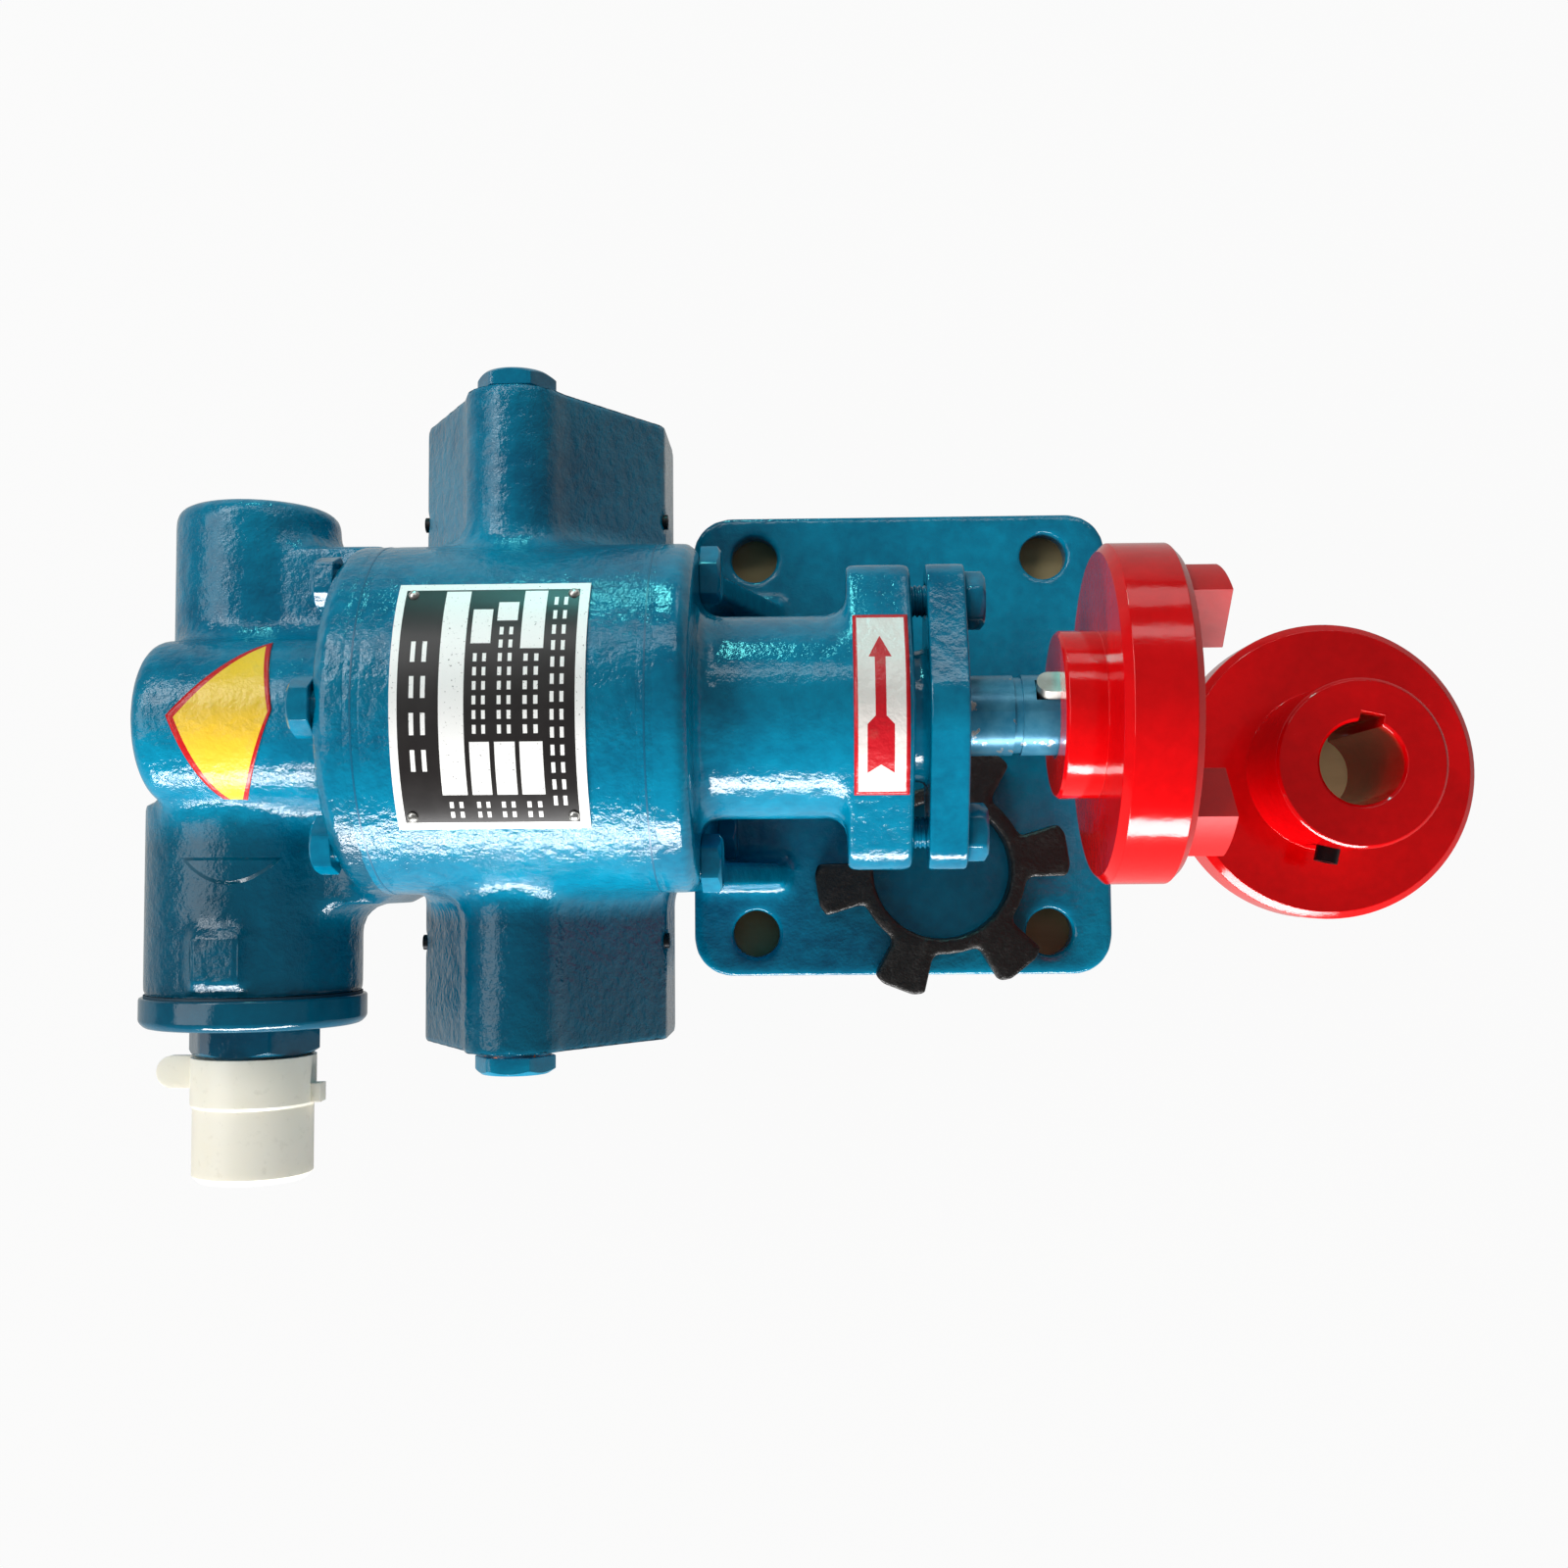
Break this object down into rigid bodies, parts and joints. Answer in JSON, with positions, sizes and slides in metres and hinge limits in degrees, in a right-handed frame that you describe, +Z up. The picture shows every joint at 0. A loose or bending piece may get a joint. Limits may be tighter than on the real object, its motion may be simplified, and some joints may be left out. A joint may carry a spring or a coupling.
{
  "type": "gear pump",
  "caption": "External gear pump: two meshing gears, side ports, rear relief valve, packed gland, footed bracket and jaw coupling, with the loose motor half and rubber star",
  "frame": {"origin": "on the ground plane at the middle of the four foot holes", "axes": "+X along the drive shaft towards the coupling, +Y sideways towards the outlet port, +Z up"},
  "size_m": [0.4537, 0.2545, 0.1668],
  "materials": {
    "blue_enamel": "teal-blue enamel over a cast surface",
    "red_enamel": "red enamel over a turned casting",
    "bare_steel": "turned steel",
    "painted_bolts": "hexagon heads painted over with the castings",
    "black_steel": "blackened steel",
    "bronze": "turned bronze",
    "copper": "soft copper",
    "gasket_paper": "oiled gasket paper",
    "packing_braid": "greased square braid",
    "black_rubber": "moulded dark rubber",
    "white_plastic": "soft warm-white plastic",
    "plate_face": "black printed plate with blank bright fields",
    "spring_steel": "oiled spring wire"
  },
  "bodies": {
    "casing": {"pump_body": "blue_enamel", "rear_cover": "blue_enamel", "front_bracket": "blue_enamel", "rear_gasket": "gasket_paper", "front_gasket": "gasket_paper", "rear_drive_bush": "bronze", "rear_driven_bush": "bronze", "front_drive_bush": "bronze", "front_driven_bush": "bronze", "packing_rings": "packing_braid", "rear_cover_bolts": "painted_bolts", "front_cover_bolts": "painted_bolts", "dowel_pins": "bare_steel", "gauge_plugs": "painted_bolts", "gauge_plug_washers": "copper", "side_plugs": "black_steel", "valve_seat": "bronze", "valve_cover": "blue_enamel", "valve_seal": "gasket_paper", "valve_spring": "spring_steel", "lock_nut": "blue_enamel", "motor_coupling_half": "red_enamel", "motor_set_screw": "black_steel", "rubber_star": "black_rubber", "nameplate": "plate_face", "nameplate_rivets": "bare_steel"},
    "drive_train": {"drive_shaft": "bare_steel", "drive_gear": "bare_steel", "drive_gear_key": "bare_steel", "coupling_key": "bare_steel", "pump_coupling_half": "red_enamel", "pump_set_screw": "black_steel"},
    "driven_train": {"driven_shaft": "bare_steel", "driven_gear": "bare_steel", "driven_gear_key": "bare_steel"},
    "poppet": {"valve_poppet": "bronze"},
    "setting_plate": {"spring_plate": "bare_steel"},
    "setting_screw": {"adjusting_screw": "bare_steel"},
    "gland": {"packing_gland": "blue_enamel", "gland_bolts": "painted_bolts"},
    "cap": {"protective_cap": "white_plastic"}
  },
  "joints": [
    {"name": "drive_spin", "type": "hinge", "parent": "casing", "child": "drive_train", "pos_m": [0, 0, 0.112], "axis": [1, 0, 0], "continuous": true},
    {"name": "driven_spin", "type": "hinge", "parent": "casing", "child": "driven_train", "pos_m": [0, 0, 0.056], "axis": [1, 0, 0], "continuous": true},
    {"name": "relief_lift", "type": "slide", "parent": "casing", "child": "poppet", "axis": [0, -1, 0], "range_m": [0, 0.005], "stiffness_N_per_m": 20000, "springref_m": -0.004, "deforming": ["valve_spring"]},
    {"name": "plate_advance", "type": "slide", "parent": "casing", "child": "setting_plate", "axis": [0, 1, 0], "range_m": [-0.006, 0.006], "deforming": ["valve_spring"]},
    {"name": "screw_turn", "type": "hinge", "parent": "setting_plate", "child": "setting_screw", "pos_m": [-0.2155, -0.09, 0.084], "axis": [0, 1, 0], "range_deg": [-1450, 1450]},
    {"name": "gland_back_off", "type": "slide", "parent": "casing", "child": "gland", "axis": [1, 0, 0], "range_m": [0, 0.008]},
    {"name": "cap_pull", "type": "slide", "parent": "casing", "child": "cap", "axis": [0, -1, 0], "range_m": [0, 0.03]}
  ],
  "couplings": [
    {"joint": "driven_spin", "follows": "drive_spin", "ratio": -1},
    {"joint": "screw_turn", "follows": "plate_advance", "rad_per_m": 4188.8}
  ]
}
